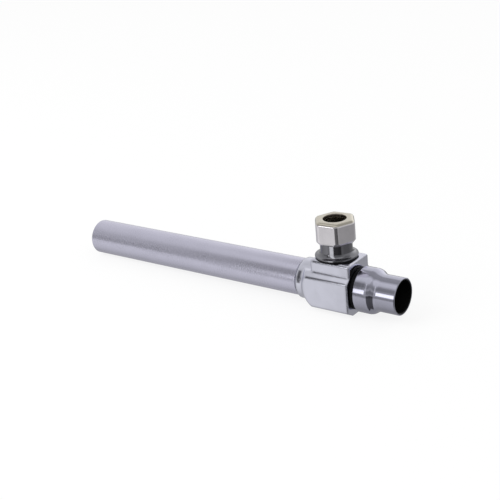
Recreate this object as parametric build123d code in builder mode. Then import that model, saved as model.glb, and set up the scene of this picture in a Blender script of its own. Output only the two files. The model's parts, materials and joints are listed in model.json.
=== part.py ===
"""Quarter-turn angle ball stop valve with a plain extension tube, in millimetres.

The origin is the centre of the tube's open inlet end. +X runs along the tube towards the
shield and +Z runs up the outlet. The two axes cross at the valve's centre, the ball's
centre, and sizes named "..._at" are counted from there along X or Z.
"""

from build123d import *
import math
import os

# Clearances
sliding_gap = 0.05
thread_gap = 0.05
ring_gap = 0.04

# Extension tube
tube_od = 15.875
tube_wall = 1.02
tube_length = 127.0
tube_deburr = 0.3
spigot_step = 0.24

# Valve body, a forged bar with a turned inlet end
socket_depth = 8.5
socket_floor = 1.5
body_width = 20.0
body_bottom_at = -10.1
body_bottom_width = 11.6
lower_chamfer_height = 2.5
upper_chamfer_at = 5.2
pad_foot_at = 7.1
pad_top_at = 12.5
pad_width = 15.4
pad_back_at = -8.6
pad_back_round = 1.2
body_face_at = 10.0
hub_wall = 1.05
hub_rim_chamfer = 0.3
shoulder_bow_r = 10.0
shoulder_crest_at = -4.4
shoulder_crest_over = 0.35
cove_r = 1.2
face_edge_chamfer = 0.3
long_edge_round = 1.2
pad_edge_round = 1.3

# Ball and its seats
ball_r = 5.5
port_r = 2.5
chamber_r = 6.3
inlet_port_r = 3.2
seat_r = 4.3
seat_lip_at = 4.35
seat_back_at = 7.4
slot_width = 2.4
slot_floor_at = 3.6

# Stem, along X
tang_length = 8.2
stem_collar_at = 5.6
stem_collar_step = 1.3
stem_collar_thickness = 1.3
stem_r = 3.6
square_width = 5.6
square_at = 17.25
stem_end_at = 22.6
stem_end_chamfer = 0.5
stem_ring_r = 0.7
stem_groove_width = 1.6
stem_ring_stations = (9.0, 11.8)
washer_thickness = 0.6

# Bonnet, screwed into the body round the stem
bonnet_inner_at = 4.9
bonnet_thread_r = 7.0
bonnet_collar_step = 1.5
bonnet_collar_end_at = 15.0
bonnet_hex_width = 11.0
bonnet_end_at = 17.2
bonnet_groove_at = 8.8
bonnet_ring_r = 0.5
bonnet_groove_width = 1.2

# Quarter-turn stop on the bonnet's end
turn_angle = 90.0
tab_angle = 40.0
stop_play = 1.0
stop_wall_gap = 0.3
stop_wall_set_in = 0.1
stop_wall_height = 1.1
stop_plate_rim = 0.4
stop_plate_thickness = 0.9
clip_thickness = 0.6
clip_rim = 1.4
clip_groove_r = 2.55
clip_opening = 70.0

# Shield and the black gasket under it
gasket_inset = 0.6
gasket_thickness = 2.1
shield_mouth_r = 7.7
shield_wall = 0.95
shield_step_at = 16.9
shield_step_end_at = 21.9
shield_end_at = 29.9
shield_rim_chamfer = 0.2

# Outlet nipple, screwed down into the pad
nipple_shank_r = 5.55
nipple_shank_at = 8.2
nipple_flange_ledge = 0.3
nipple_flange_thickness = 0.6
nipple_flange_chamfer = 0.2
nipple_neck_relief = 0.5
nipple_neck_cove = 2.0
outlet_thread_r = 7.144
outlet_thread_length = 4.8
outlet_top_at = 24.4
nipple_way_r = 3.0
nipple_ring_thickness = 0.7
nipple_ring_inset = 0.15

# Compression nut and ferrule for the supply tube
supply_od = 9.525
supply_gap = 0.06
supply_socket_depth = 5.4
ferrule_cone_depth = 1.1
ferrule_play = 0.2
ferrule_wall = 1.2775
ferrule_length = 4.2
nut_wall = 0.7435  # makes the nut 5/8 in across its flats
nut_height = 9.8
nut_play = 0.3
nut_top_wall = 1.0
nut_thread_run_out = 1.2
nut_chamfer_angle = 30.0
nut_lower_chamfer_angle = 54.5
nut_lower_rim = 0.306
nut_corner_angle = -56.0

# Places worked out from the sizes above
tube_r = tube_od / 2
bore_r = tube_r - tube_wall
spigot_r = tube_r - spigot_step
hub_r = spigot_r + hub_wall
chamber_back_at = -(seat_lip_at + socket_floor)
tube_end_at = chamber_back_at - socket_floor
valve_x = tube_length - tube_end_at
hub_end_at = tube_end_at - socket_depth
gasket_end_at = body_face_at + gasket_thickness
stem_collar_r = stem_r + stem_collar_step
stop_plate_r = stem_r + sliding_gap + stop_plate_rim
stop_wall_inner_r = stop_plate_r + stop_wall_gap
stop_wall_r = bonnet_hex_width / 2 - stop_wall_set_in
bonnet_collar_r = bonnet_thread_r + bonnet_collar_step
shield_r = bonnet_collar_r + sliding_gap + shield_wall
supply_r = supply_od / 2 + supply_gap
outlet_thread_at = outlet_top_at - outlet_thread_length
supply_socket_at = outlet_top_at - supply_socket_depth

valve_plane = Plane(origin=(valve_x, 0, 0), x_dir=(1, 0, 0), z_dir=(0, -1, 0))
outlet_axis = Axis((valve_x, 0, 0), (0, 0, 1))


def station(at):
    """Plane across the stem's axis, `at` beyond the valve's centre, facing the shield."""
    return Plane.YZ.offset(valve_x + at)


def level(at):
    """Plane across the outlet's axis, `at` above the valve's centre."""
    return Plane(origin=(valve_x, 0, at))


def step_curve(start, end):
    """Two equal arcs that lead from one run along X to another, nearer the axis."""
    middle = ((start[0] + end[0]) / 2, (start[1] + end[1]) / 2)
    TangentArc(start, middle, tangent=(1, 0))
    TangentArc(end, middle, tangent=(-1, 0))


# Extension tube, with a turned spigot that locates it in the hub's socket
with BuildPart() as extension_tube:
    with BuildSketch(Plane.YZ):
        Circle(tube_r)
        Circle(bore_r, mode=Mode.SUBTRACT)
    extrude(amount=tube_length - socket_depth)
    with BuildSketch(station(hub_end_at)):
        Circle(spigot_r)
        Circle(bore_r, mode=Mode.SUBTRACT)
    extrude(amount=socket_depth)
    open_end = extension_tube.faces().sort_by(Axis.X)[0]
    chamfer(open_end.edges().sort_by(SortBy.RADIUS)[0], tube_deburr)

# Valve body: the bar's section, its turned inlet end, the pad, then the bores
half_width = body_width / 2
half_bottom = body_bottom_width / 2
half_pad = pad_width / 2
lower_side_at = body_bottom_at + lower_chamfer_height
bar_section = ((-half_bottom, body_bottom_at), (half_bottom, body_bottom_at), (half_width, lower_side_at),
               (half_width, upper_chamfer_at), (half_pad, pad_foot_at), (-half_pad, pad_foot_at),
               (-half_width, upper_chamfer_at), (-half_width, lower_side_at))
shoulder_crest_r = max(math.hypot(*corner) for corner in bar_section) + shoulder_crest_over
bow_centre_r = shoulder_crest_r - shoulder_bow_r
shoulder_at = shoulder_crest_at - math.sqrt(shoulder_bow_r**2 - (hub_r - bow_centre_r) ** 2)

with BuildPart() as valve_body:
    with BuildSketch(station(shoulder_at - cove_r)):
        Polygon(*bar_section)
    extrude(amount=body_face_at - shoulder_at + cove_r)
    fillet(valve_body.edges().filter_by(Axis.X).sort_by(Axis.Z)[:6], long_edge_round)
    with BuildSketch(valve_plane):
        with BuildLine():
            Polyline((hub_end_at, 0), (hub_end_at, hub_r), (shoulder_at, hub_r))
            RadiusArc((shoulder_at, hub_r), (shoulder_crest_at, shoulder_crest_r), shoulder_bow_r)
            Polyline((shoulder_crest_at, shoulder_crest_r), (body_face_at, shoulder_crest_r), (body_face_at, 0),
                     (hub_end_at, 0))
        make_face()
        fillet(vertices().sort_by_distance((shoulder_at, hub_r))[0], cove_r)
    revolve(axis=Axis.X, mode=Mode.INTERSECT)
    with BuildSketch(station(hub_end_at)):
        Circle(hub_r)
    extrude(amount=pad_back_at - hub_end_at)
    chamfer(valve_body.faces().sort_by(Axis.X)[0].edges().sort_by(SortBy.RADIUS)[-1], hub_rim_chamfer)
    with BuildSketch(station(pad_back_at)):
        Polygon((-half_pad, 0), (half_pad, 0), (half_pad, pad_top_at), (-half_pad, pad_top_at))
    extrude(amount=body_face_at - pad_back_at)
    pad_top_edges = valve_body.faces().sort_by(Axis.Z)[-1].edges()
    fillet(pad_top_edges.sort_by(Axis.X)[0], pad_back_round)
    fillet(valve_body.edges().filter_by(Axis.X).sort_by(Axis.Z)[-2:], pad_edge_round)
    chamfer(valve_body.faces().sort_by(Axis.X)[-1].edges(), face_edge_chamfer)
    with BuildSketch(valve_plane):
        Polygon((hub_end_at, 0), (hub_end_at, spigot_r + sliding_gap), (tube_end_at, spigot_r + sliding_gap),
                (tube_end_at, inlet_port_r), (chamber_back_at, inlet_port_r), (chamber_back_at, chamber_r),
                (bonnet_inner_at, chamber_r), (bonnet_inner_at, bonnet_thread_r + thread_gap),
                (body_face_at, bonnet_thread_r + thread_gap), (body_face_at, 0))
    revolve(axis=Axis.X, mode=Mode.SUBTRACT)
    with BuildSketch(valve_plane):
        Polygon((0, -seat_back_at), (seat_r + sliding_gap, -seat_back_at), (seat_r + sliding_gap, nipple_shank_at),
                (nipple_shank_r + thread_gap, nipple_shank_at), (nipple_shank_r + thread_gap, pad_top_at),
                (0, pad_top_at))
    revolve(axis=outlet_axis, mode=Mode.SUBTRACT)

# Ball with an elbow port, and the slot that the stem turns it by
with BuildPart(Plane(origin=(valve_x, 0, 0))) as ball:
    Sphere(ball_r)
    with BuildSketch(station(0)):
        Circle(port_r)
    extrude(amount=-ball_r, mode=Mode.SUBTRACT)
    with BuildSketch(level(0)):
        Circle(port_r)
    extrude(amount=ball_r, mode=Mode.SUBTRACT)
    Sphere(port_r, mode=Mode.SUBTRACT)
    with BuildSketch(station(slot_floor_at)):
        Rectangle(slot_width, 2 * ball_r)
    extrude(amount=ball_r, mode=Mode.SUBTRACT)

# Seats: one behind the ball at the inlet, one under the nipple and one opposite it
cup_r = ball_r + sliding_gap

with BuildPart() as inlet_seat:
    with BuildSketch(station(chamber_back_at)):
        Circle(chamber_r - sliding_gap)
        Circle(port_r, mode=Mode.SUBTRACT)
    extrude(amount=socket_floor)
    with BuildSketch(valve_plane):
        with BuildLine():
            CenterArc((0, 0), cup_r, 90, 90)
            Polyline((0, cup_r), (0, 0), (-cup_r, 0))
        make_face()
    revolve(axis=Axis.X, mode=Mode.SUBTRACT)

with BuildPart() as outlet_seat:
    with BuildSketch(level(seat_lip_at)):
        Circle(seat_r)
        Circle(port_r, mode=Mode.SUBTRACT)
    extrude(amount=seat_back_at - seat_lip_at)
    with BuildSketch(valve_plane):
        with BuildLine():
            CenterArc((0, 0), cup_r, 0, 90)
            Polyline((0, cup_r), (0, 0), (cup_r, 0))
        make_face()
    revolve(axis=outlet_axis, mode=Mode.SUBTRACT)

with BuildPart() as support_seat:
    add(outlet_seat.part)
    mirror(about=Plane.XY, mode=Mode.REPLACE)

# Stem: tang in the ball's slot, collar, ring grooves, square end and clip groove
collar_end_at = stem_collar_at + stem_collar_thickness
groove_floor_r = stem_r - 2 * stem_ring_r - ring_gap
plate_end_at = square_at + stop_plate_thickness

with BuildPart() as stem:
    with BuildSketch(station(stem_collar_at)):
        Circle(stem_collar_r)
    extrude(amount=stem_collar_thickness)
    with BuildSketch(station(collar_end_at)):
        Circle(stem_r)
    extrude(amount=stem_end_at - collar_end_at)
    chamfer(stem.faces().sort_by(Axis.X)[-1].edges(), stem_end_chamfer)
    with BuildSketch(station(square_at)):
        Circle(stem_r + sliding_gap)
        Rectangle(square_width, square_width, mode=Mode.SUBTRACT)
    extrude(amount=stem_end_at - square_at, mode=Mode.SUBTRACT)
    with BuildSketch(valve_plane):
        for groove_at in stem_ring_stations:
            with Locations((groove_at, (stem_r + groove_floor_r) / 2)):
                Rectangle(stem_groove_width, stem_r - groove_floor_r)
        with Locations((plate_end_at + clip_thickness / 2 + ring_gap, (stem_r + clip_groove_r) / 2)):
            Rectangle(clip_thickness + 2 * ring_gap, stem_r - clip_groove_r)
    revolve(axis=Axis.X, mode=Mode.SUBTRACT)
    with BuildSketch(station(slot_floor_at + sliding_gap)):
        Rectangle(slot_width - 2 * sliding_gap, tang_length)
    extrude(amount=stem_collar_at - slot_floor_at - sliding_gap)

with BuildPart() as thrust_washer:
    with BuildSketch(station(collar_end_at)):
        Circle(stem_collar_r)
        Circle(stem_r + sliding_gap, mode=Mode.SUBTRACT)
    extrude(amount=washer_thickness)


def sealing_ring(at, section_r, inner_r, axis):
    """Round-section ring about the stem's or the outlet's axis, centred `at` along it."""
    centre = inner_r + section_r
    place = (at, centre) if axis == Axis.X else (centre, at)
    with BuildPart() as ring:
        with BuildSketch(valve_plane):
            with Locations(place):
                Circle(section_r)
        revolve(axis=axis)
    return ring


stem_ring_inner = sealing_ring(stem_ring_stations[0], stem_ring_r, groove_floor_r + ring_gap, Axis.X)
stem_ring_outer = sealing_ring(stem_ring_stations[1], stem_ring_r, groove_floor_r + ring_gap, Axis.X)

# Bonnet: threaded shank, collar that carries the shield, hexagon and stop wall
washer_end_at = collar_end_at + washer_thickness
bonnet_groove_r = bonnet_thread_r - 2 * bonnet_ring_r - 2 * ring_gap
stop_gap = turn_angle + tab_angle + 2 * stop_play
stop_gap_start = 90 - turn_angle - tab_angle / 2 - stop_play

with BuildPart() as bonnet:
    with BuildSketch(valve_plane):
        Polygon((bonnet_inner_at, 0), (bonnet_inner_at, bonnet_thread_r), (gasket_end_at, bonnet_thread_r),
                (gasket_end_at, bonnet_collar_r), (bonnet_collar_end_at, bonnet_collar_r),
                (bonnet_collar_end_at, 0))
    revolve(axis=Axis.X)
    with BuildSketch(station(bonnet_collar_end_at)):
        RegularPolygon(bonnet_hex_width / 2, 6, major_radius=False)
    extrude(amount=bonnet_end_at - bonnet_collar_end_at)
    with BuildSketch(station(bonnet_end_at)):
        with BuildLine():
            CenterArc((0, 0), stop_wall_r, stop_gap_start + stop_gap, 360 - stop_gap)
            CenterArc((0, 0), stop_wall_inner_r, stop_gap_start + stop_gap, 360 - stop_gap)
            for angle in (stop_gap_start, stop_gap_start + stop_gap):
                PolarLine((stop_wall_inner_r * math.cos(math.radians(angle)),
                           stop_wall_inner_r * math.sin(math.radians(angle))),
                          stop_wall_r - stop_wall_inner_r, angle)
        make_face()
    extrude(amount=stop_wall_height)
    with BuildSketch(valve_plane):
        Polygon((bonnet_inner_at, 0), (bonnet_inner_at, stem_collar_r + 2 * sliding_gap),
                (washer_end_at + sliding_gap, stem_collar_r + 2 * sliding_gap),
                (washer_end_at + sliding_gap, stem_r + sliding_gap), (bonnet_end_at, stem_r + sliding_gap),
                (bonnet_end_at, 0))
    revolve(axis=Axis.X, mode=Mode.SUBTRACT)
    with BuildSketch(valve_plane):
        with Locations((bonnet_groove_at, (bonnet_thread_r + bonnet_groove_r) / 2)):
            Rectangle(bonnet_groove_width, bonnet_thread_r - bonnet_groove_r)
    revolve(axis=Axis.X, mode=Mode.SUBTRACT)

bonnet_ring = sealing_ring(bonnet_groove_at, bonnet_ring_r, bonnet_groove_r + ring_gap, Axis.X)

# Stop plate and the clip that keeps it on the square
with BuildPart() as stop_plate:
    with BuildSketch(station(square_at)):
        Circle(stop_plate_r)
        with BuildLine():
            CenterArc((0, 0), stop_wall_r, 90 - tab_angle / 2, tab_angle)
            for angle in (90 - tab_angle / 2, 90 + tab_angle / 2):
                PolarLine((0, 0), stop_wall_r, angle)
        make_face()
    extrude(amount=stop_plate_thickness)
    with BuildSketch(station(square_at)):
        Circle(stem_r + sliding_gap)
        Rectangle(square_width + 2 * sliding_gap, square_width + 2 * sliding_gap, mode=Mode.INTERSECT)
    extrude(amount=stop_plate_thickness, mode=Mode.SUBTRACT)

clip_inner_r = clip_groove_r + ring_gap
clip_r = clip_inner_r + clip_rim

with BuildPart() as clip:
    with BuildSketch(station(plate_end_at + ring_gap)):
        Circle(clip_r)
        Circle(clip_inner_r, mode=Mode.SUBTRACT)
        with BuildLine():
            for angle in (-90 - clip_opening / 2, -90 + clip_opening / 2):
                PolarLine((0, 0), 2 * clip_r, angle)
            CenterArc((0, 0), 2 * clip_r, -90 - clip_opening / 2, clip_opening)
        make_face(mode=Mode.SUBTRACT)
    extrude(amount=clip_thickness)

# Gasket and shield
with BuildPart() as shield_gasket:
    with BuildSketch(station(body_face_at)):
        Circle(shield_r - gasket_inset)
        Circle(bonnet_thread_r + ring_gap, mode=Mode.SUBTRACT)
    extrude(amount=gasket_thickness)

with BuildPart() as shield:
    with BuildSketch(valve_plane):
        with BuildLine():
            Line((gasket_end_at, shield_r), (shield_step_at, shield_r))
            step_curve((shield_step_at, shield_r), (shield_step_end_at, shield_mouth_r))
            Polyline((shield_step_end_at, shield_mouth_r), (shield_end_at, shield_mouth_r),
                     (shield_end_at, shield_mouth_r - shield_wall),
                     (shield_step_end_at, shield_mouth_r - shield_wall))
            Polyline((shield_step_end_at, shield_mouth_r - shield_wall),
                     (shield_step_at, bonnet_collar_r + sliding_gap),
                     (gasket_end_at, bonnet_collar_r + sliding_gap), (gasket_end_at, shield_r))
        make_face()
    revolve(axis=Axis.X)
    chamfer(shield.faces().sort_by(Axis.X)[-1].edges(), shield_rim_chamfer)
    chamfer(shield.faces().sort_by(Axis.X)[0].edges().sort_by(SortBy.RADIUS)[-1], shield_rim_chamfer)

# Outlet nipple
nipple_neck_r = outlet_thread_r - nipple_neck_relief
nipple_flange_r = nipple_neck_r + nipple_neck_cove + nipple_flange_ledge
flange_bottom_at = pad_top_at + nipple_ring_thickness
flange_top_at = flange_bottom_at + nipple_flange_thickness
cone_r = supply_r + ferrule_cone_depth

with BuildPart() as outlet_nipple:
    with BuildSketch(valve_plane):
        Polygon((nipple_way_r, seat_back_at), (seat_r, seat_back_at), (seat_r, nipple_shank_at),
                (nipple_shank_r, nipple_shank_at), (nipple_shank_r, flange_bottom_at), (nipple_flange_r, flange_bottom_at),
                (nipple_flange_r, flange_top_at), (nipple_neck_r, flange_top_at),
                (nipple_neck_r, outlet_thread_at), (outlet_thread_r, outlet_thread_at),
                (outlet_thread_r, outlet_top_at), (cone_r, outlet_top_at),
                (supply_r, outlet_top_at - ferrule_cone_depth), (supply_r, supply_socket_at),
                (nipple_way_r, supply_socket_at))
    revolve(axis=outlet_axis)
    flange_edges = outlet_nipple.edges().filter_by(GeomType.CIRCLE).filter_by_position(
        Axis.Z, flange_top_at - sliding_gap, flange_top_at + sliding_gap)
    chamfer(flange_edges.sort_by(SortBy.RADIUS)[-1], nipple_flange_chamfer)
    fillet(flange_edges.sort_by(SortBy.RADIUS)[0], nipple_neck_cove)

with BuildPart() as nipple_ring:
    with BuildSketch(level(pad_top_at)):
        Circle(nipple_flange_r - nipple_ring_inset)
        Circle(nipple_shank_r + ring_gap, mode=Mode.SUBTRACT)
    extrude(amount=nipple_ring_thickness)

# Ferrule, tapered at both ends
ferrule_r = supply_r + ferrule_wall
ferrule_at = outlet_top_at - ferrule_cone_depth + ferrule_play
ferrule_top_at = ferrule_at + ferrule_length
taper = ferrule_r - supply_r - sliding_gap

with BuildPart() as ferrule:
    with BuildSketch(valve_plane):
        Polygon((supply_r, ferrule_at), (supply_r + sliding_gap, ferrule_at), (ferrule_r, ferrule_at + taper),
                (ferrule_r, ferrule_top_at - taper), (supply_r + sliding_gap, ferrule_top_at),
                (supply_r, ferrule_top_at))
    revolve(axis=outlet_axis)

# Compression nut: hexagon with turned ends, its thread bore and the inner cone
nut_bore_r = outlet_thread_r + thread_gap
nut_flat_r = nut_bore_r + nut_wall
nut_corner_r = nut_flat_r / math.cos(math.radians(30))
nut_slope = math.tan(math.radians(nut_chamfer_angle))
nut_lower_slope = math.tan(math.radians(nut_lower_chamfer_angle))
nut_roof_at = ferrule_top_at + nut_play
nut_top_at = nut_roof_at + nut_top_wall
nut_bottom_at = nut_top_at - nut_height
nut_bottom_r = nut_bore_r + nut_lower_rim
nut_cone_r = ferrule_r + ferrule_play

with BuildPart() as compression_nut:
    with BuildSketch(level(nut_bottom_at)):
        RegularPolygon(nut_flat_r, 6, major_radius=False, rotation=nut_corner_angle)
    extrude(amount=nut_top_at - nut_bottom_at)
    with BuildSketch(valve_plane):
        Polygon((0, nut_bottom_at), (nut_bottom_r, nut_bottom_at),
                (nut_corner_r, nut_bottom_at + (nut_corner_r - nut_bottom_r) * nut_lower_slope),
                (nut_corner_r, nut_top_at - (nut_corner_r - nut_flat_r + thread_gap) * nut_slope),
                (nut_flat_r - thread_gap, nut_top_at), (0, nut_top_at))
    revolve(axis=outlet_axis, mode=Mode.INTERSECT)
    with BuildSketch(valve_plane):
        Polygon((0, nut_bottom_at), (nut_bore_r, nut_bottom_at),
                (nut_bore_r, outlet_top_at + nut_thread_run_out),
                (nut_cone_r, outlet_top_at + nut_thread_run_out),
                (nut_cone_r, nut_roof_at - (nut_cone_r - supply_r)),
                (supply_r, nut_roof_at), (supply_r, nut_top_at), (0, nut_top_at))
    revolve(axis=outlet_axis, mode=Mode.SUBTRACT)

pieces = {
    "extension_tube": extension_tube,
    "valve_body": valve_body,
    "inlet_seat": inlet_seat,
    "outlet_seat": outlet_seat,
    "support_seat": support_seat,
    "ball": ball,
    "stem": stem,
    "thrust_washer": thrust_washer,
    "stem_ring_inner": stem_ring_inner,
    "stem_ring_outer": stem_ring_outer,
    "bonnet": bonnet,
    "bonnet_ring": bonnet_ring,
    "stop_plate": stop_plate,
    "clip": clip,
    "shield_gasket": shield_gasket,
    "shield": shield,
    "outlet_nipple": outlet_nipple,
    "nipple_ring": nipple_ring,
    "ferrule": ferrule,
    "compression_nut": compression_nut,
}

os.makedirs("parts", exist_ok=True)
for name, piece in pieces.items():
    piece.part.label = name
    export_step(piece.part, f"parts/{name}.step")
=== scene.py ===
"""Looks of a quarter-turn angle ball stop valve: chrome, nickel, brass, rubber and a pale studio.

Lengths are in metres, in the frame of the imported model: the origin is the centre of the
tube's open end, +X runs along the tube and +Z runs up the outlet. The valve's centre, where
the stem's axis crosses the outlet's, is at (valve_x, 0, 0).
"""

import json
import math

import bpy
from bpy.props import FloatProperty, FloatVectorProperty, IntProperty, PointerProperty
from mathutils import Matrix, Vector


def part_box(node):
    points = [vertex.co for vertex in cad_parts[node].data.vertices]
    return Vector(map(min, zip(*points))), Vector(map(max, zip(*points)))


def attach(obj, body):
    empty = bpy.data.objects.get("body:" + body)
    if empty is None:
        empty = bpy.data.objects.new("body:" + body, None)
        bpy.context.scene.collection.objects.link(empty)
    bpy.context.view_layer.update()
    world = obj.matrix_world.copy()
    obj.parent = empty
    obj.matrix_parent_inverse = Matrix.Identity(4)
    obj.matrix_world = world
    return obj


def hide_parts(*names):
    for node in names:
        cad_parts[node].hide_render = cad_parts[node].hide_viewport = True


bl_info = {
    "name": "Angle ball stop valve",
    "version": (1, 0, 0),
    "blender": (4, 5, 0),
    "location": "View3D > Sidebar > Valve",
    "description": "Finishes, threads and studio for an angle ball stop valve",
    "category": "Object",
}

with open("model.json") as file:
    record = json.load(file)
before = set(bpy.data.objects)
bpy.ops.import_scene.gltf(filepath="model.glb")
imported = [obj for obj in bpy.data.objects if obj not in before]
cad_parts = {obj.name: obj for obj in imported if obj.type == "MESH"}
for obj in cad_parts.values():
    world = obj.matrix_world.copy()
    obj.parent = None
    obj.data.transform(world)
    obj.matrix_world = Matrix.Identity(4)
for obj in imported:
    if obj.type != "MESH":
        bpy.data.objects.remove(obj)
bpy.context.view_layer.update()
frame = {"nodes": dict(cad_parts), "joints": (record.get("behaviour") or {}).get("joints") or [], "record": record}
nodes = frame["nodes"]
valve_x = frame["joints"][0]["pos_m"][0]

MM = 0.001
WHITE = (1.0, 1.0, 1.0)
ALONG_TUBE = Vector((1.0, 0.0, 0.0))
UP_OUTLET = Vector((0.0, 0.0, 1.0))
valve_centre = Vector((valve_x, 0.0, 0.0))

# The supply tube's hole, the nipple's thread, and how far below it a ridge begins to turn
SUPPLY_R = 4.82 * MM
THREAD_LENGTH = 4.8 * MM
THREAD_LEAD = 0.5 * MM

# Where the tube enters the hub, counted from the valve's centre as all places in profiles are
hub_end = frame["record"]["mounts"][0]["dims"]["length_mm"] * MM - valve_x


# Values a user would change

class ValveSizes(bpy.types.PropertyGroup):
    """Sizes of the pieces that are modelled here."""

    ring_steps: IntProperty(
        name="Ring Steps", description="Points round each turned piece",
        default=128, min=24, max=512)
    thread_steps: IntProperty(
        name="Thread Steps", description="Points in each turn of a thread",
        default=72, min=24, max=256)
    thread_pitch: FloatProperty(
        name="Thread Pitch",
        description="Rise of the compression thread in one turn, 24 to the inch",
        default=25.4 / 24 * MM, unit="LENGTH", precision=6)
    thread_r: FloatProperty(
        name="Thread Radius", description="Radius over the crests of the nipple's thread",
        default=7.12 * MM, unit="LENGTH", precision=5)
    thread_root_r: FloatProperty(
        name="Thread Root Radius", description="Radius at the roots of the nipple's thread",
        default=6.571 * MM, unit="LENGTH", precision=5)
    flange_r: FloatProperty(
        name="Flange Radius", description="Radius of the nipple's flange",
        default=8.944 * MM, unit="LENGTH", precision=5)
    neck_r: FloatProperty(
        name="Neck Radius", description="Radius of the nipple's neck",
        default=6.644 * MM, unit="LENGTH", precision=5)
    neck_cove: FloatProperty(
        name="Neck Cove", description="Radius of the hollow between neck and flange",
        default=2.0 * MM, unit="LENGTH", precision=5)
    nut_flat_r: FloatProperty(
        name="Nut Flat Radius", description="From the nut's axis to its flats, half of 5/8 in",
        default=7.9375 * MM, unit="LENGTH", precision=5)
    nut_edge_round: FloatProperty(
        name="Nut Edge Rounding", description="Width of the buffed rounding on the nut's six edges",
        default=1.5 * MM, unit="LENGTH", precision=5)
    gasket_r: FloatProperty(
        name="Gasket Radius", description="Outer radius of the gasket under the shield",
        default=8.9 * MM, unit="LENGTH", precision=5)
    gasket_round: FloatProperty(
        name="Gasket Rounding", description="How far the gasket's outer corners are rounded",
        default=0.7 * MM, unit="LENGTH", precision=5)
    solder_run: FloatProperty(
        name="Solder Run", description="Length of the solder fillet along the tube",
        default=0.9 * MM, unit="LENGTH", precision=5)


class ValveFinishes(bpy.types.PropertyGroup):
    """Colours and polish of the finishes."""

    tube_colour: FloatVectorProperty(
        name="Tube", description="Satin chrome of the extension tube",
        subtype="COLOR", size=3, min=0.0, max=1.0, default=(0.70, 0.69, 0.83))
    tube_roughness: FloatProperty(
        name="Tube Roughness", description="Roughness of the satin chrome",
        default=0.26, min=0.0, max=1.0, subtype="FACTOR")
    body_colour: FloatVectorProperty(
        name="Body", description="Polished chrome of the forged body",
        subtype="COLOR", size=3, min=0.0, max=1.0, default=(0.74, 0.745, 0.85))
    # Darker than the body's chrome; the darkening is partly painted shade for the darker studio it mirrors
    shield_shaded_colour: FloatVectorProperty(
        name="Shield", description="Polished chrome of the shield",
        subtype="COLOR", size=3, min=0.0, max=1.0, default=(0.54, 0.54, 0.65))
    # Painted shade: the nipple's chrome is darkened to stand in for the dark surroundings it mirrors
    nipple_shaded_colour: FloatVectorProperty(
        name="Nipple", description="Dark bright chrome of the outlet nipple",
        subtype="COLOR", size=3, min=0.0, max=1.0, default=(0.22, 0.22, 0.24))
    nut_colour: FloatVectorProperty(
        name="Nut", description="Warm nickel plate of the compression nut",
        subtype="COLOR", size=3, min=0.0, max=1.0, default=(0.93, 0.90, 0.94))
    # Painted reflection: a warmer, darker colour for the nut's faces that point up
    nut_top_reflection_colour: FloatVectorProperty(
        name="Nut Ends", description="Thinner, warmer plate on the nut's turned ends",
        subtype="COLOR", size=3, min=0.0, max=1.0, default=(0.66, 0.62, 0.53))
    brass_colour: FloatVectorProperty(
        name="Brass", description="Turned brass of the stem and the bonnet",
        subtype="COLOR", size=3, min=0.0, max=1.0, default=(0.70, 0.57, 0.30))
    ferrule_colour: FloatVectorProperty(
        name="Ferrule", description="Paler brass of the ferrule",
        subtype="COLOR", size=3, min=0.0, max=1.0, default=(0.62, 0.55, 0.42))
    steel_colour: FloatVectorProperty(
        name="Steel", description="Stamped steel of the stop plate and the clip",
        subtype="COLOR", size=3, min=0.0, max=1.0, default=(0.56, 0.56, 0.58))
    rubber_colour: FloatVectorProperty(
        name="Rubber", description="Black rubber of the seals",
        subtype="COLOR", size=3, min=0.0, max=1.0, default=(0.005, 0.005, 0.006))
    seat_colour: FloatVectorProperty(
        name="Seat", description="White plastic of the ball's seats",
        subtype="COLOR", size=3, min=0.0, max=1.0, default=(0.80, 0.80, 0.77))


class ValveStudio(bpy.types.PropertyGroup):
    """Camera and light."""

    azimuth: FloatProperty(
        name="Azimuth", description="Camera's turn about Z from the -Y side",
        default=math.radians(38.283), subtype="ANGLE")
    elevation: FloatProperty(
        name="Elevation", description="Camera's height above the horizon",
        default=math.radians(21.925), subtype="ANGLE")
    roll: FloatProperty(
        name="Roll", description="Camera's turn about its own axis",
        default=math.radians(-5.55), subtype="ANGLE")
    distance: FloatProperty(
        name="Distance", description="From the camera to the point that it looks at",
        default=0.443866, unit="LENGTH")
    lens: FloatProperty(
        name="Lens", description="Focal length for a 36 mm sensor, in millimetres",
        default=73.514)
    fill: FloatProperty(
        name="Fill", description="Even light from all round",
        default=0.7, min=0.0)
    key: FloatProperty(
        name="Key", description="Power of the large lamp above the front left, in watts",
        default=4.5, min=0.0)
    softbox: FloatProperty(
        name="Softbox", description="Brightness of the softbox that metal mirrors",
        default=1.7, min=0.0)


# Shader expressions

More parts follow.
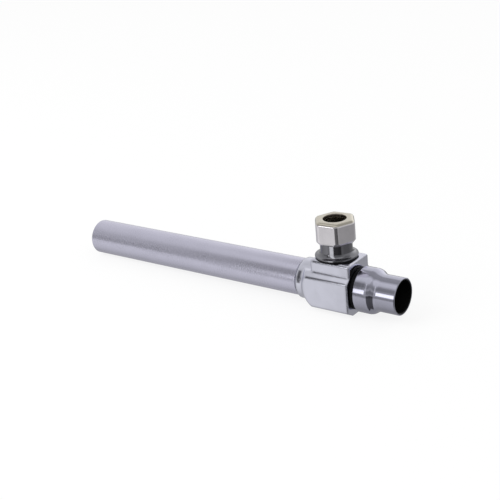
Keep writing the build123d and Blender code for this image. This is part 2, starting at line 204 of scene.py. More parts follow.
class Sock:
    """A value in a material: arithmetic on it adds Math nodes."""

    def __init__(self, tree, socket):
        self.tree = tree
        self.socket = socket

    def _math(self, operation, *values):
        node = self.tree.nodes.new("ShaderNodeMath")
        node.operation = operation
        for slot, value in zip(node.inputs, values):
            if isinstance(value, Sock):
                self.tree.links.new(value.socket, slot)
            else:
                slot.default_value = value
        return Sock(self.tree, node.outputs[0])

    def __add__(self, other):
        return self._math("ADD", self, other)

    __radd__ = __add__

    def __sub__(self, other):
        return self._math("SUBTRACT", self, other)

    def __rsub__(self, other):
        return self._math("SUBTRACT", other, self)

    def __mul__(self, other):
        return self._math("MULTIPLY", self, other)

    __rmul__ = __mul__

    def __neg__(self):
        return self * -1.0

    def clamp(self):
        return self._math("MINIMUM", self._math("MAXIMUM", self, 0.0), 1.0)

    def max(self, other):
        return self._math("MAXIMUM", self, other)

    def length(self, other):
        """Length of a vector whose parts are this value and another."""
        return self._math("SQRT", self * self + other * other)

    def angle(self, other):
        """Angle in degrees of a vector whose parts are `other` and this one."""
        return self._math("ARCTAN2", self, other) * math.degrees(1.0)

    def step(self, start, end):
        """0 before `start`, 1 after `end`, and a smooth rise between them."""
        node = self.tree.nodes.new("ShaderNodeMapRange")
        node.interpolation_type = "SMOOTHSTEP"
        self.tree.links.new(self.socket, node.inputs["Value"])
        node.inputs["From Min"].default_value = start
        node.inputs["From Max"].default_value = end
        return Sock(self.tree, node.outputs["Result"])

    def between(self, start, end, soft):
        """1 from `start` to `end`, falling to 0 over `soft` outside them."""
        return self.step(start - soft, start) * (1.0 - self.step(end, end + soft))

    def centred(self, reach):
        """Noise from 0 to 1 as a change of up to half of `reach` either way."""
        return (self - 0.5) * reach

    def dimmed(self, share, card):
        """This light without a share of it where a dark card stands."""
        return self * (1.0 - share * card)


class Tree:
    """A node tree that is written as expressions."""

    def __init__(self, tree):
        self.tree = tree
        tree.nodes.clear()

    def node(self, kind, settings=None, **sockets):
        """Adds a node: its settings first, then the values or links of its sockets."""
        made = self.tree.nodes.new(kind)
        for name, value in (settings or {}).items():
            setattr(made, name, value)
        for name, value in sockets.items():
            slot = made.inputs[name.replace("_", " ")]
            if isinstance(value, Sock):
                self.tree.links.new(value.socket, slot)
            else:
                slot.default_value = value
        return made

    def out(self, node, name):
        return Sock(self.tree, node.outputs[name])

    def mix(self, factor, first, second):
        """A colour between two colours."""
        made = self.tree.nodes.new("ShaderNodeMix")
        made.data_type = "RGBA"
        # These sockets share their names with those of other types, so they go by index
        factor_slot, first_slot, second_slot, colour_out = 0, 6, 7, 2
        for index, value in ((factor_slot, factor), (first_slot, first), (second_slot, second)):
            if isinstance(value, Sock):
                self.tree.links.new(value.socket, made.inputs[index])
            else:
                made.inputs[index].default_value = value
        return Sock(self.tree, made.outputs[colour_out])

    def mottled(self, factor, value, scale):
        """A property's colour, made darker or lighter by `scale` where the factor is 1."""
        return self.mix(factor, colour(value), colour(value, scale))

    def axes(self, vector):
        """The three parts of a vector."""
        made = self.node("ShaderNodeSeparateXYZ", Vector=vector)
        return [self.out(made, name) for name in "XYZ"]

    def mapped(self, vector, **sockets):
        """A vector, moved or scaled."""
        made = self.node("ShaderNodeMapping", {"vector_type": "POINT"}, Vector=vector, **sockets)
        return self.out(made, "Vector")

    def place(self, centre=(0.0, 0.0, 0.0)):
        """Object coordinates, counted from a centre."""
        made = self.node("ShaderNodeTexCoord")
        return self.mapped(self.out(made, "Object"), Location=tuple(-part for part in centre))

    def noise(self, vector, per_metre, detail=2.0):
        """Noise from 0 to 1 with its own number of patches to the metre along each axis."""
        made = self.node("ShaderNodeTexNoise", {"noise_dimensions": "3D"},
                         Vector=self.mapped(vector, Scale=per_metre),
                         Scale=1.0, Detail=detail, Roughness=0.55)
        return self.out(made, "Fac")

    def vector(self, x, y, z):
        made = self.node("ShaderNodeCombineXYZ", X=x, Y=y, Z=z)
        return self.out(made, "Vector")

    def bump(self, height, strength, distance, normal=None):
        sockets = {"Height": height, "Strength": strength, "Distance": distance}
        if normal is not None:
            sockets["Normal"] = normal
        made = self.node("ShaderNodeBump", None, **sockets)
        return self.out(made, "Normal")

    def soft_edges(self, radius):
        """Normals that round the sharp edges off."""
        made = self.node("ShaderNodeBevel", {"samples": 8}, Radius=radius)
        return self.out(made, "Normal")

    def surface(self, **sockets):
        """Principled shader with the given sockets, linked to the material's output."""
        shader = self.node("ShaderNodeBsdfPrincipled", None, **sockets)
        output = self.node("ShaderNodeOutputMaterial")
        self.tree.links.new(shader.outputs["BSDF"], output.inputs["Surface"])


def colour(value, scale=1.0):
    """A colour with alpha, made darker or lighter by `scale`."""
    return (value[0] * scale, value[1] * scale, value[2] * scale, 1.0)


def new_material(name):
    made = bpy.data.materials.new(name)
    made.use_nodes = True
    return made, Tree(made.node_tree)


# Finishes
# Noise is given in patches to the metre. Bump heights and edge roundings are lengths.

def satin_chrome():
    """Plated tube, polished round and round, so that its fine lines circle it."""
    finishes = bpy.context.scene.valve_finishes
    made, tree = new_material("satin_chrome")
    place = tree.place()
    lines = tree.noise(place, (9000.0, 160.0, 160.0), 3.0)
    clouds = tree.noise(place, (70.0, 240.0, 240.0), 4.0)
    y, z = tree.axes(place)[1:]
    bore_wall = (7.2 * MM, 7.5 * MM)
    inside = 1.0 - y.length(z).step(*bore_wall)
    plated = tree.mottled(clouds.step(0.35, 0.75), finishes.tube_colour, 0.95)
    # Bare brass inside the bore, darkened to a third of its colour as painted shade
    shaded_bare_brass = colour(finishes.brass_colour, 0.35)
    roughness = finishes.tube_roughness + lines.centred(0.10) + clouds.centred(0.06)
    tree.surface(Base_Color=tree.mix(inside, plated, shaded_bare_brass), Metallic=1.0,
                 Roughness=roughness + inside * 0.2,
                 Normal=tree.bump(lines, 0.10, 0.02 * MM, tree.soft_edges(0.15 * MM)))
    return made


def forged_chrome(name, base_colour, base_roughness, edge):
    """Plate over a forging: mirror-bright, with the faint waviness of hand buffing."""
    made, tree = new_material(name)
    place = tree.place(valve_centre)
    waves = tree.noise(place, (230.0, 230.0, 230.0), 1.0)
    buffing = tree.noise(place, (260.0, 2600.0, 2600.0), 3.0)
    wavy = tree.bump(waves, 0.35, 0.03 * MM, tree.soft_edges(edge))
    tree.surface(Base_Color=tree.mottled(waves.step(0.3, 0.8), base_colour, 0.96), Metallic=1.0,
                 Roughness=base_roughness + buffing.centred(0.05) + waves.centred(0.03),
                 Normal=tree.bump(buffing, 0.05, 0.01 * MM, wavy))
    return made


def spun_chrome():
    """Shield: spun lines on its outside, and an inside painted nearly black as shade."""
    finishes = bpy.context.scene.valve_finishes
    made, tree = new_material("spun_chrome")
    place = tree.place(valve_centre)
    x, y, z = tree.axes(place)
    radius = y.length(z)
    lines = tree.noise(tree.vector(x, radius, 0.0), (5200.0, 900.0, 1.0), 3.0)
    waves = tree.noise(place, (260.0, 200.0, 200.0), 1.0)
    wide_wall_r, narrowing, narrowing_at = 9.1 * MM, 1.8 * MM, (16.9 * MM, 21.9 * MM)
    wall = wide_wall_r - narrowing * x.step(*narrowing_at)
    inside = (wall - radius).step(0.0, 0.15 * MM)
    # Chrome darkened partly as painted shade
    bright = tree.mottled(waves.step(0.3, 0.8), finishes.shield_shaded_colour, 0.94)
    # Painted shade: the shield's inside is coloured nearly black, as shade falls in its mouth
    shaded_inside = (0.002, 0.002, 0.003, 1.0)
    wavy = tree.bump(waves, 0.3, 0.03 * MM, tree.soft_edges(0.15 * MM))
    tree.surface(Base_Color=tree.mix(inside, bright, shaded_inside), Metallic=1.0 - inside * 0.6,
                 Roughness=0.11 + lines.centred(0.08) + inside * 0.4,
                 Normal=tree.bump(lines, 0.08, 0.015 * MM, wavy))
    return made


def nickel():
    """Nut from hexagon bar: drawn lines up its flats, turned rings on its ends, a warmer painted reflection on the
    faces that point up, and a bore darkened with painted shade.
    """
    finishes = bpy.context.scene.valve_finishes
    made, tree = new_material("nickel_plate")
    place = tree.place(valve_centre)
    x, y, z = tree.axes(place)
    radius = x.length(y)
    drawn = tree.noise(place, (2600.0, 2600.0, 110.0), 3.0)
    rings = tree.noise(tree.vector(radius, z, 0.0), (4200.0, 700.0, 1.0), 2.0)
    waves = tree.noise(place, (300.0, 300.0, 160.0), 2.0)
    facing_up = tree.axes(tree.out(tree.node("ShaderNodeNewGeometry"), "Normal"))[2]
    top = facing_up.step(0.3, 0.6)
    thread_wall, supply_rim = (7.22 * MM, 7.34 * MM), (4.85 * MM, 4.95 * MM)
    roof = (28.4 * MM, 28.7 * MM)
    bore = (1.0 - radius.step(*thread_wall)) * (1.0 - z.step(*roof))
    hole = (1.0 - radius.step(*supply_rim)).max(bore)
    flats = tree.mottled(waves.step(0.3, 0.75), finishes.nut_colour, 0.93)
    # Painted reflection: faces that point up take the warmer, darker colour
    plated = tree.mix(top, flats, colour(finishes.nut_top_reflection_colour))
    # Bare metal in the bore, darkened further as painted shade
    shaded_inside = (0.34, 0.30, 0.26, 1.0)
    marks = drawn * (1.0 - top) + rings * top
    wavy = tree.bump(waves, 0.3, 0.03 * MM, tree.soft_edges(0.2 * MM))
    tree.surface(Base_Color=tree.mix(hole, plated, shaded_inside), Metallic=1.0,
                 Roughness=0.15 + drawn.centred(0.08) + top * 0.06 + hole * 0.15,
                 Normal=tree.bump(marks, 0.12, 0.02 * MM, wavy))
    return made


def turned_metal(name, base_colour, base_roughness, axis):
    """Metal from the lathe: fine rings about an axis, a little duller in patches."""
    made, tree = new_material(name)
    place = tree.place(valve_centre)
    x, y, z = tree.axes(place)
    along, first, second = (x, y, z) if axis == ALONG_TUBE else (z, x, y)
    rings = tree.noise(tree.vector(first.length(second), along, 0.0), (3400.0, 3400.0, 1.0), 2.0)
    patches = tree.noise(place, (420.0, 420.0, 420.0), 3.0)
    tree.surface(Base_Color=tree.mottled(patches.step(0.4, 0.8), base_colour, 0.82), Metallic=1.0,
                 Roughness=base_roughness + rings.centred(0.10) + patches.centred(0.12),
                 Normal=tree.bump(rings, 0.25, 0.02 * MM, tree.soft_edges(0.08 * MM)))
    return made


def stamped_steel():
    """Stop plate and clip: rolled sheet with a fine directionless grain."""
    finishes = bpy.context.scene.valve_finishes
    made, tree = new_material("stamped_steel")
    place = tree.place(valve_centre)
    grain = tree.noise(place, (5200.0, 5200.0, 1400.0), 2.0)
    patches = tree.noise(place, (500.0, 500.0, 500.0), 2.0)
    tree.surface(Base_Color=tree.mottled(patches.step(0.3, 0.8), finishes.steel_colour, 0.85),
                 Metallic=1.0, Roughness=0.30 + grain.centred(0.15),
                 Normal=tree.bump(grain, 0.15, 0.01 * MM, tree.soft_edges(0.06 * MM)))
    return made


def black_rubber():
    """Moulded rubber with a fine matt grain and a little bloom."""
    finishes = bpy.context.scene.valve_finishes
    made, tree = new_material("black_rubber")
    place = tree.place(valve_centre)
    grain = tree.noise(place, (3800.0, 3800.0, 3800.0), 2.0)
    bloom = tree.noise(place, (350.0, 350.0, 350.0), 3.0)
    tree.surface(Base_Color=tree.mottled(bloom.step(0.45, 0.9), finishes.rubber_colour, 1.8),
                 Roughness=0.55 + grain.centred(0.2), Specular_IOR_Level=0.12,
                 Normal=tree.bump(grain, 0.3, 0.03 * MM))
    return made


def seat_plastic():
    """White fluoroplastic with faint turning rings."""
    finishes = bpy.context.scene.valve_finishes
    made, tree = new_material("seat_plastic")
    place = tree.place(valve_centre)
    x, y, z = tree.axes(place)
    rings = tree.noise(tree.vector(y.length(z), x, 0.0), (3000.0, 900.0, 1.0), 1.0)
    cloud = tree.noise(place, (400.0, 400.0, 400.0), 2.0)
    tree.surface(Base_Color=tree.mottled(cloud.step(0.3, 0.8), finishes.seat_colour, 0.93),
                 Roughness=0.42 + rings.centred(0.1), Normal=tree.bump(rings, 0.15, 0.02 * MM))
    return made


def dress(material, *names):
    """Gives CAD nodes a finish."""
    for name in names:
        for slot in nodes[name].material_slots:
            slot.material = material


# Profiles: points of (place along the axis, radius)

def arc(at, radius, along, out, steps=6):
    """Quarter ellipse from (at + along, radius) to (at, radius + out), close to (at, radius)."""
    turns = [math.radians(step * 90.0 / steps) for step in range(steps + 1)]
    return [(at + along * (1.0 - math.sin(turn)), radius + out * (1.0 - math.cos(turn)))
            for turn in turns]


def worn(at, radius, *steps):
    """A worn corner: steps in millimetres, along and out, from its place and radius."""
    return [(at + along * MM, radius + out * MM) for along, out in steps]


# Modelling by operators

def clear_selection():
    if bpy.context.mode != "OBJECT":
        bpy.ops.object.mode_set(mode="OBJECT")
    bpy.ops.object.select_all(action="DESELECT")


def settle(name, smooth_angle):
    """Names the active object, puts its place in its mesh and smooths its faces."""
    piece = bpy.context.object
    piece.name = name
    piece.data.name = name
    bpy.ops.object.transform_apply(location=True, rotation=True, scale=True)
    bpy.ops.object.shade_smooth_by_angle(angle=math.radians(smooth_angle))
    piece.select_set(False)
    return piece


def turned(name, axis, profile, steps, smooth_angle=32.0):
    """A ring, extruded and resized along a closed profile."""
    clear_selection()
    across = Vector((1.0, 1.0, 1.0)) - axis
    turn = (0.0, math.pi / 2, 0.0) if axis == ALONG_TUBE else (0.0, 0.0, 0.0)
    at, radius = profile[0]
    bpy.ops.mesh.primitive_circle_add(vertices=steps, radius=radius,
                                      location=valve_centre + axis * at, rotation=turn)
    bpy.ops.object.mode_set(mode="EDIT")
    bpy.ops.mesh.select_all(action="SELECT")
    for next_at, next_radius in profile[1:] + profile[:1]:
        bpy.ops.mesh.extrude_edges_move(TRANSFORM_OT_translate={"value": axis * (next_at - at)})
        bpy.ops.transform.resize(value=axis + across * (next_radius / radius),
                                 center_override=valve_centre + axis * next_at)
        at, radius = next_at, next_radius
    bpy.ops.mesh.select_all(action="SELECT")
    bpy.ops.mesh.remove_doubles(threshold=1e-6)
    bpy.ops.mesh.normals_make_consistent(inside=False)
    bpy.ops.object.mode_set(mode="OBJECT")
    return settle(name, smooth_angle)


def thread_ridge(name, crest, root, crest_half, root_half, start, end, first_turn_at):
    """One ridge of a right-hand thread about the outlet, cut off level at `start` and `end`.

    `crest` and `root` are radii, and the halves are half the ridge's width there.
    """
    sizes = bpy.context.scene.valve_sizes
    pitch = sizes.thread_pitch
    clear_selection()
    bpy.ops.mesh.primitive_plane_add(size=1.0, location=valve_centre,
                                     rotation=(math.pi / 2, 0.0, 0.0))
    piece = bpy.context.object
    bpy.ops.object.mode_set(mode="EDIT")
    bpy.ops.mesh.select_all(action="SELECT")
    bpy.ops.transform.resize(value=(abs(crest - root), 1.0, 2 * root_half),
                             center_override=valve_centre)
    bpy.ops.mesh.delete(type="ONLY_FACE")
    bpy.ops.object.mode_set(mode="OBJECT")
    crest_is_outer = crest > root
    for corner in piece.data.vertices:
        corner.select = (corner.co.x > 0) == crest_is_outer
    for edge in piece.data.edges:
        edge.select = all(piece.data.vertices[index].select for index in edge.vertices)
    bpy.ops.object.mode_set(mode="EDIT")
    bpy.ops.transform.resize(value=(1.0, 1.0, crest_half / root_half),
                             center_override=valve_centre)
    bpy.ops.mesh.select_all(action="SELECT")
    bpy.ops.transform.translate(value=((crest + root) / 2, 0.0, first_turn_at))
    bpy.ops.object.mode_set(mode="OBJECT")
    bpy.ops.object.transform_apply(location=False, rotation=True, scale=True)
    turns = (end - first_turn_at) / pitch + 1.0
    screw = piece.modifiers.new("thread", "SCREW")
    screw.axis = "Z"
    screw.angle = 2 * math.pi * turns
    screw.screw_offset = pitch * turns
    screw.steps = screw.render_steps = round(sizes.thread_steps * turns)
    screw.use_merge_vertices = False
    screw.use_smooth_shade = False
    bpy.ops.object.modifier_apply(modifier=screw.name)
    bpy.ops.object.mode_set(mode="EDIT")
    for level, above in ((start, False), (end, True)):
        bpy.ops.mesh.select_all(action="SELECT")
        bpy.ops.mesh.bisect(plane_co=(valve_x, 0.0, level), plane_no=(0.0, 0.0, 1.0),
                            clear_inner=not above, clear_outer=above)
        bpy.ops.mesh.edge_face_add()
    bpy.ops.mesh.select_all(action="SELECT")
    bpy.ops.mesh.remove_doubles(threshold=1e-7)
    bpy.ops.mesh.normals_make_consistent(inside=False)
    bpy.ops.object.mode_set(mode="OBJECT")
    return settle(name, 25.0)


def join(name, *pieces):
    """Makes one object of several."""
    clear_selection()
    for piece in pieces:
        piece.select_set(True)
    bpy.context.view_layer.objects.active = pieces[0]
    bpy.ops.object.join()
    pieces[0].name = name
    pieces[0].data.name = name
    pieces[0].select_set(False)
    return pieces[0]


def wear(piece, material, body):
    """Gives a new piece its finish and its body."""
    piece.data.materials.clear()
    piece.data.materials.append(material)
    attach(piece, body)


# Operators

class VALVE_OT_tube(bpy.types.Operator):
    """Finish the extension tube and run solder round its joint with the hub"""

    bl_idname = "valve.tube"
    bl_label = "Extension Tube"

    def execute(self, context):
        sizes = context.scene.valve_sizes
        dress(satin_chrome(), "extension_tube")
        run = sizes.solder_run
        tube_r = 7.94 * MM
        rise = 0.5 * MM
        start, end = hub_end - run, hub_end + 0.1 * MM
        inner_r = tube_r - 0.05 * MM
        profile = [(start, inner_r), *arc(hub_end, tube_r, -run, rise),
                   (end, tube_r + rise), (end, inner_r)]
        solder = turned("solder_fillet", ALONG_TUBE, profile, sizes.ring_steps, 40.0)
        wear(solder, bpy.data.materials["forged_chrome"], "valve")
        return {"FINISHED"}


class VALVE_OT_body(bpy.types.Operator):
    """Finish the forged body"""

    bl_idname = "valve.body"
    bl_label = "Forged Body"

    def execute(self, context):
        body_colour = context.scene.valve_finishes.body_colour
        chrome = forged_chrome("forged_chrome", body_colour, base_roughness=0.09, edge=1.4 * MM)
        dress(chrome, "valve_body")
        return {"FINISHED"}


class VALVE_OT_nipple(bpy.types.Operator):
    """Turn the outlet nipple and cut its compression thread"""

    bl_idname = "valve.nipple"
    bl_label = "Outlet Nipple"

    def execute(self, context):
        sizes = context.scene.valve_sizes
        low, high = (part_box("outlet_nipple")[corner][2] for corner in (0, 1))
        flange_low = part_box("nipple_ring")[1][2]
        flange_top = flange_low + 0.6 * MM
        thread_start = high - THREAD_LENGTH
        water_r, socket_floor = 3.0 * MM, high - 5.4 * MM
        shank_r, relief_r, relief_top = 5.55 * MM, 4.3 * MM, low + 0.8 * MM
        cone_mouth_r, cone_depth = 5.92 * MM, 1.1 * MM
        end_chamfer = 0.25 * MM
        cove = reversed(arc(flange_top, sizes.neck_r, sizes.neck_cove, sizes.neck_cove, 9))
        profile = [
            (low, water_r), (low, relief_r), (relief_top, relief_r), (relief_top, shank_r),
            (flange_low, shank_r),
            *worn(flange_low, sizes.flange_r, (0.0, -0.15), (0.05, -0.04), (0.15, 0.0)),
            *worn(flange_top, sizes.flange_r, (-0.22, 0.0), (-0.07, -0.06), (0.0, -0.22)),
            *cove,
            (thread_start - 0.1 * MM, sizes.neck_r), (thread_start, sizes.thread_root_r),
            (high - end_chamfer, sizes.thread_root_r), (high, sizes.thread_root_r - end_chamfer),
            (high, cone_mouth_r), (high - cone_depth, SUPPLY_R),
            (socket_floor, SUPPLY_R), (socket_floor, water_r),
        ]
        core = turned("outlet_nipple_dressed", UP_OUTLET, profile, sizes.ring_steps)
        ridge = thread_ridge("nipple_thread", crest=sizes.thread_r, root=6.5 * MM,
                             crest_half=0.046 * MM, root_half=0.404 * MM,
                             start=thread_start, end=high - 0.1 * MM,
                             first_turn_at=thread_start - THREAD_LEAD)
        nipple = join("outlet_nipple_dressed", core, ridge)
        # Chrome darkened as painted shade
        nipple_shaded_colour = context.scene.valve_finishes.nipple_shaded_colour
        chrome = forged_chrome("nipple_chrome", nipple_shaded_colour, base_roughness=0.10, edge=0.08 * MM)
        wear(nipple, chrome, "valve")
        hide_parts("outlet_nipple")
        return {"FINISHED"}


class VALVE_OT_nut(bpy.types.Operator):
    """Make the compression nut from hexagon bar and cut the thread in its bore"""

    bl_idname = "valve.nut"
    bl_label = "Compression Nut"

    def execute(self, context):
        sizes = context.scene.valve_sizes
        low, high = (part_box("compression_nut")[corner][2] for corner in (0, 1))
        nipple_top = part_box("outlet_nipple")[1][2]
        corner_r = sizes.nut_flat_r / math.cos(math.radians(30.0))
        bar = self.make_bar(context, low, high, corner_r)
        blank = self.make_blank(sizes, low, high, corner_r, nipple_top)
        cut = bar.modifiers.new("turned ends and bore", "BOOLEAN")
        cut.operation = "INTERSECT"
        cut.solver = "EXACT"
        cut.object = blank
        clear_selection()
        bar.select_set(True)
        context.view_layer.objects.active = bar
        bpy.ops.object.modifier_apply(modifier=cut.name)
        nut = settle("compression_nut_dressed", 24.0)
        even = nut.modifiers.new("even flats", "WEIGHTED_NORMAL")
        even.keep_sharp = True
        bpy.ops.object.modifier_apply(modifier=even.name)
        blank.select_set(True)
        bpy.ops.object.delete()
        half_pitch = 0.5 * sizes.thread_pitch
        ridge = thread_ridge("nut_thread", crest=6.62 * MM, root=7.25 * MM,
                             crest_half=0.141 * MM, root_half=0.505 * MM,
                             start=low + 0.55 * MM, end=nipple_top + 0.7 * MM,
                             first_turn_at=nipple_top - THREAD_LENGTH - THREAD_LEAD - half_pitch)
        nut = join("compression_nut_dressed", nut, ridge)
        wear(nut, nickel(), "nut")
        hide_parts("compression_nut")
        return {"FINISHED"}

    def make_bar(self, context, low, high, corner_r):
        """Hexagon bar with buffed edges, turned as the CAD's nut is."""
        arms = [corner.co - valve_centre for corner in nodes["compression_nut"].data.vertices]
        corner_arm = max(arms, key=lambda arm: arm.xy.length)
        clear_selection()
        bpy.ops.mesh.primitive_cylinder_add(
            vertices=6, radius=corner_r, depth=high - low,
            location=valve_centre + UP_OUTLET * (low + high) / 2,
            rotation=(0.0, 0.0, math.atan2(corner_arm.y, corner_arm.x) - math.pi / 2))
        bar = context.object
        for edge in bar.data.edges:
            ends = [bar.data.vertices[index].co.z for index in edge.vertices]
            edge.select = abs(ends[0] - ends[1]) > (high - low) / 2
        for part in (*bar.data.vertices, *bar.data.polygons):
            part.select = False
        bpy.ops.object.mode_set(mode="EDIT")
        bpy.ops.mesh.select_mode(type="EDGE")
        bpy.ops.mesh.bevel(offset=context.scene.valve_sizes.nut_edge_round, segments=5,
                           affect="EDGES")
        bpy.ops.mesh.select_mode(type="VERT")
        bpy.ops.object.mode_set(mode="OBJECT")
        return bar

    def make_blank(self, sizes, low, high, corner_r, nipple_top):
        """Ring with the nut's bore and turned ends, a little wider than the bar."""
        bore_r, bore_lead = 7.2 * MM, 0.22 * MM
        ferrule_room_r, cone_depth = 6.3 * MM, 1.48 * MM
        bore_top, roof = nipple_top + 1.2 * MM, high - 1.0 * MM
        rim_r = sizes.nut_flat_r - 0.05 * MM
        past_corners_r = corner_r + 0.1 * MM
        foot_r, slope_from_r = 7.55 * MM, 7.5 * MM
        top_slope, lower_slope = math.tan(math.radians(30.0)), 1.4
        profile = [
            (low, bore_r + bore_lead), (low + bore_lead, bore_r),
            (bore_top, bore_r), (bore_top, ferrule_room_r),
            (roof - cone_depth, ferrule_room_r), (roof, SUPPLY_R),
            *worn(high, SUPPLY_R, (-0.2, 0.0), (-0.06, 0.06), (0.0, 0.2)),
            *worn(high, rim_r, (0.0, -0.2), (-0.05, 0.0), (-0.15, 0.2)),
            (high - (corner_r - rim_r) * top_slope - 0.03 * MM, past_corners_r),
            (low + (corner_r - slope_from_r) * lower_slope, past_corners_r), (low, foot_r),
        ]
        return turned("nut_blank", UP_OUTLET, profile, sizes.ring_steps)


class VALVE_OT_shield(bpy.types.Operator):
    """Finish the shield and mould the gasket under it"""

    bl_idname = "valve.shield"
    bl_label = "Shield and Gasket"

    def execute(self, context):
        sizes = context.scene.valve_sizes
        dress(spun_chrome(), "shield")
        low, high = (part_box("shield_gasket")[corner][0] - valve_x for corner in (0, 1))
        inner, outer, rounding = 7.04 * MM, sizes.gasket_r, sizes.gasket_round
        profile = [(low, inner), *reversed(arc(low, outer, rounding, -rounding)),
                   *arc(high, outer, -rounding, -rounding), (high, inner)]
        gasket = turned("shield_gasket_dressed", ALONG_TUBE, profile, sizes.ring_steps)
        wear(gasket, bpy.data.materials["black_rubber"], "valve")
        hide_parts("shield_gasket")
        return {"FINISHED"}


class VALVE_OT_works(bpy.types.Operator):
    """Finish the stem, bonnet, ball, ferrule, stop plate, clip, seats and seals"""

    bl_idname = "valve.works"
    bl_label = "Works and Seals"

    def execute(self, context):
        finishes = context.scene.valve_finishes
        brass = turned_metal("turned_brass", finishes.brass_colour, 0.24, ALONG_TUBE)
        pale_brass = turned_metal("ferrule_brass", finishes.ferrule_colour, 0.20, UP_OUTLET)
        polished = turned_metal("ball_chrome", finishes.body_colour, 0.07, ALONG_TUBE)
        dress(brass, "stem", "bonnet")
        dress(pale_brass, "ferrule")
        dress(polished, "ball")
        dress(stamped_steel(), "stop_plate", "clip")
        dress(seat_plastic(), "inlet_seat", "outlet_seat", "support_seat", "thrust_washer")
        dress(black_rubber(), "stem_ring_inner", "stem_ring_outer", "bonnet_ring", "nipple_ring")
        return {"FINISHED"}


class VALVE_OT_stage(bpy.types.Operator):
    """Set the camera, the lamps, the studio that metal mirrors, and the floor"""

    bl_idname = "valve.stage"
    bl_label = "Stage"

    def execute(self, context):
        self.make_camera(context)
        self.make_world(context)
        self.make_lamp(context)
        self.make_neck_card(context)
        self.make_floor(context)
        context.scene.view_settings.view_transform = "Standard"
        return {"FINISHED"}

    def make_camera(self, context):
        studio = context.scene.valve_studio
        a, e, r = studio.azimuth, studio.elevation, studio.roll
        back = Vector((math.sin(a) * math.cos(e), -math.cos(a) * math.cos(e), math.sin(e)))
        right = Vector((math.cos(a), math.sin(a), 0.0))
        up = back.cross(right)
        right, up = right * math.cos(r) + up * math.sin(r), up * math.cos(r) - right * math.sin(r)
        looks_at = valve_centre + Vector((-44.657, 0.0, 7.583)) * MM
        turn = Matrix((right, up, back)).transposed()
        clear_selection()
        bpy.ops.object.camera_add(location=looks_at + back * studio.distance,
                                  rotation=turn.to_euler())
        camera = context.object
        camera.name = "camera"
        camera.data.lens = studio.lens
        camera.data.sensor_width = 36.0
        camera.data.clip_start = 0.01
        camera.data.clip_end = 20.0
        context.scene.camera = camera

    def make_world(self, context):
        """White to the camera, an even grey to matt surfaces, and a studio to metal."""
        studio = context.scene.valve_studio
        world = bpy.data.worlds.new("studio")
        context.scene.world = world
        world.use_nodes = True
        tree = Tree(world.node_tree)
        place = tree.node("ShaderNodeTexCoord")
        glow = self.mirrored_glow(studio, *tree.axes(tree.out(place, "Generated")))
        path = tree.node("ShaderNodeLightPath")
        mirrored = (tree.out(path, "Is Glossy Ray") + tree.out(path, "Is Transmission Ray")).clamp()
        seen = tree.out(path, "Is Camera Ray")
        strength = seen + mirrored * glow + (1.0 - (seen + mirrored).clamp()) * studio.fill
        background = tree.node("ShaderNodeBackground", None, Color=colour(WHITE),
                               Strength=strength)
        output = tree.node("ShaderNodeOutputWorld")
        world.node_tree.links.new(background.outputs[0], output.inputs["Surface"])

    def mirrored_glow(self, studio, x, y, z):
        """Brightness of the studio in the direction (x, y, z), as metal mirrors it.

        Seen by the photo's camera, the tube mirrors directions with x below about -0.53, the
        body those up to -0.49 and the shield those beyond. The camera's side is -y. Each card
        stands between two bounds and fades out over a third number.
        """
        turn = x.angle(-y)
        front = (-y).max(0.0)
        ahead = (-y).step(0.25, 0.6)
        near_valve = x.step(-0.54, -0.49)
        near_shield = x.step(-0.50, -0.475)
        above = z.step(-0.10, 0.02)

        # Dark cards above the horizon
        horizon_strip = z.between(0.03, 0.26, 0.06) * ahead * (0.7 + 0.3 * x.step(-0.66, -0.58))
        body_strip = z.between(-0.06, 0.44, 0.06) * ahead * x.between(-0.55, -0.505, 0.02)
        front_bar = z.between(0.52, 0.66, 0.10) * ahead * near_valve
        overhead_bar = y.between(0.15, 0.55, 0.15) * z.step(0.5, 0.7) * near_valve
        sky = 0.42 + 0.225 * (1.0 + y) + 0.3 * y.step(0.8, 1.0)
        sky = sky.dimmed(0.35, body_strip).dimmed(0.42, horizon_strip)
        sky = sky.dimmed(0.35, front_bar).dimmed(0.45, overhead_bar)

        # Below it, a floor that is lighter in front
        shield_strip = z.between(-0.24, -0.08, 0.05) * ahead * near_shield
        floor = (0.45 + 0.40 * front).dimmed(0.22, near_shield).dimmed(0.45, shield_strip)

        # Cards in front of both
        block_panel = (x.between(-0.555, -0.495, 0.015) * z.between(-0.16, 0.68, 0.06)
                       * (-y).step(0.2, 0.35))
        corner_card = turn.between(12.0, 62.0, 8.0) * (1.0 - z.step(-0.15, 0.0))
        side_card = x.step(0.55, 0.75)
        glow = (sky * above + floor * (1.0 - above)).dimmed(0.8, block_panel)
        glow = glow.dimmed(0.82, corner_card).dimmed(0.2, side_card)

        # Lights
        top_light = z.step(0.74, 0.82) * y.between(-0.50, -0.12, 0.12) * near_valve
        softbox = turn.between(-29.8, -19.0, 2.0) * z.between(0.04, 0.28, 0.06)
        narrow_strip = turn.between(-12.0, 4.0, 3.0) * z.between(0.05, 0.80, 0.05)
        return glow + studio.softbox * softbox + 0.3 * narrow_strip + 0.22 * top_light

    def make_lamp(self, context):
        """Large lamp above the front left, which metal doesn't mirror."""
        clear_selection()
        place = Vector((-0.35, -0.70, 0.80))
        target = valve_centre - ALONG_TUBE * 0.06
        turn = (place - target).to_track_quat("Z", "Y").to_euler()
        bpy.ops.object.light_add(type="AREA", location=place, rotation=turn)
        lamp = context.object
        lamp.name = "key"
        lamp.data.shape = "DISK"
        lamp.data.size = 0.8
        lamp.data.energy = context.scene.valve_studio.key
        lamp.visible_glossy = False

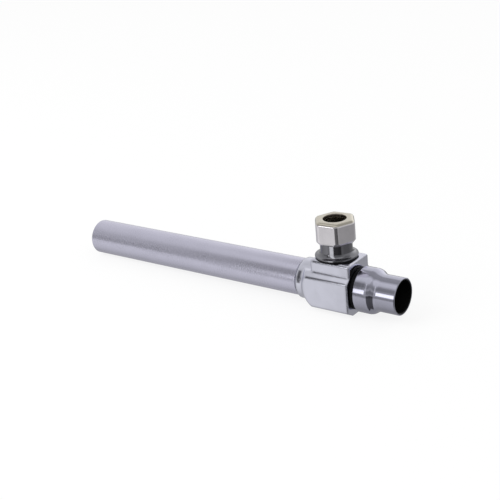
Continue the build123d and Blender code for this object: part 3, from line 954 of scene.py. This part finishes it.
    def make_neck_card(self, context):
        """Tall narrow card in front, flagged so that only the nipple mirrors it."""
        clear_selection()
        stripe = valve_centre + Vector((1.70, -6.42, 16.2)) * MM
        turn = math.radians(-3.0)
        width, height, brightness = 0.075, 0.50, 1.6
        distance, lift = 0.15, 0.15
        towards = Vector((math.sin(turn), -math.cos(turn), 0.0))
        place = stripe + towards * distance + UP_OUTLET * lift
        facing = (-towards).to_track_quat("-Z", "Y").to_euler()
        bpy.ops.object.light_add(type="AREA", location=place, rotation=facing)
        card = context.object
        card.name = "neck_card"
        card.data.shape = "RECTANGLE"
        card.data.size = width
        card.data.size_y = height
        card.data.energy = math.pi * width * height * brightness
        card.visible_camera = False
        lit = bpy.data.collections.new("neck_card_lights")
        lit.objects.link(bpy.data.objects["outlet_nipple_dressed"])
        card.light_linking.receiver_collection = lit

    def make_floor(self, context):
        """Floor that touches the tube's open end and the body's bottom."""
        clear_selection()
        tube_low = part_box("extension_tube")[0][2]
        body_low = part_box("valve_body")[0][2]
        body_touches_at = valve_x - 6.7 * MM
        tilt = math.atan2(tube_low - body_low, body_touches_at)
        bpy.ops.mesh.primitive_plane_add(size=4.0, location=(0.0, 0.0, tube_low),
                                         rotation=(0.0, tilt, 0.0))
        floor = context.object
        floor.name = "floor"
        bpy.ops.object.transform_apply(location=True, rotation=True, scale=True)
        floor.visible_glossy = False
        made, tree = new_material("floor")
        seen = tree.out(tree.node("ShaderNodeLightPath"), "Is Camera Ray")
        matt = tree.node("ShaderNodeBsdfDiffuse", None, Color=colour(WHITE, 0.18))
        glow = tree.node("ShaderNodeEmission", None, Color=colour(WHITE), Strength=seen * 0.84)
        both = tree.node("ShaderNodeAddShader")
        output = tree.node("ShaderNodeOutputMaterial")
        made.node_tree.links.new(matt.outputs[0], both.inputs[0])
        made.node_tree.links.new(glow.outputs[0], both.inputs[1])
        made.node_tree.links.new(both.outputs[0], output.inputs["Surface"])
        floor.data.materials.append(made)


class VALVE_PT_panel(bpy.types.Panel):
    """The valve's pieces, sizes, finishes and studio"""

    bl_idname = "VALVE_PT_panel"
    bl_label = "Angle Ball Stop Valve"
    bl_space_type = "VIEW_3D"
    bl_region_type = "UI"
    bl_category = "Valve"

    def draw(self, context):
        column = self.layout.column(align=True)
        for operator in operators:
            column.operator(operator.bl_idname)
        scene = context.scene
        for group in (scene.valve_sizes, scene.valve_finishes, scene.valve_studio):
            box = self.layout.box()
            for name in group.__annotations__:
                box.prop(group, name)


groups = {"valve_sizes": ValveSizes, "valve_finishes": ValveFinishes, "valve_studio": ValveStudio}
operators = (VALVE_OT_works, VALVE_OT_body, VALVE_OT_tube, VALVE_OT_nipple, VALVE_OT_nut,
             VALVE_OT_shield, VALVE_OT_stage)


def register():
    for group in groups.values():
        bpy.utils.register_class(group)
    for name, group in groups.items():
        setattr(bpy.types.Scene, name, PointerProperty(type=group))
    for operator in operators:
        bpy.utils.register_class(operator)
    bpy.utils.register_class(VALVE_PT_panel)


def unregister():
    bpy.utils.unregister_class(VALVE_PT_panel)
    for operator in reversed(operators):
        bpy.utils.unregister_class(operator)
    for name, group in groups.items():
        delattr(bpy.types.Scene, name)
        bpy.utils.unregister_class(group)


def main():
    register()
    bpy.ops.valve.works()
    bpy.ops.valve.body()
    bpy.ops.valve.tube()
    bpy.ops.valve.nipple()
    bpy.ops.valve.nut()
    bpy.ops.valve.shield()
    bpy.ops.valve.stage()


if __name__ == "__main__":
    main()
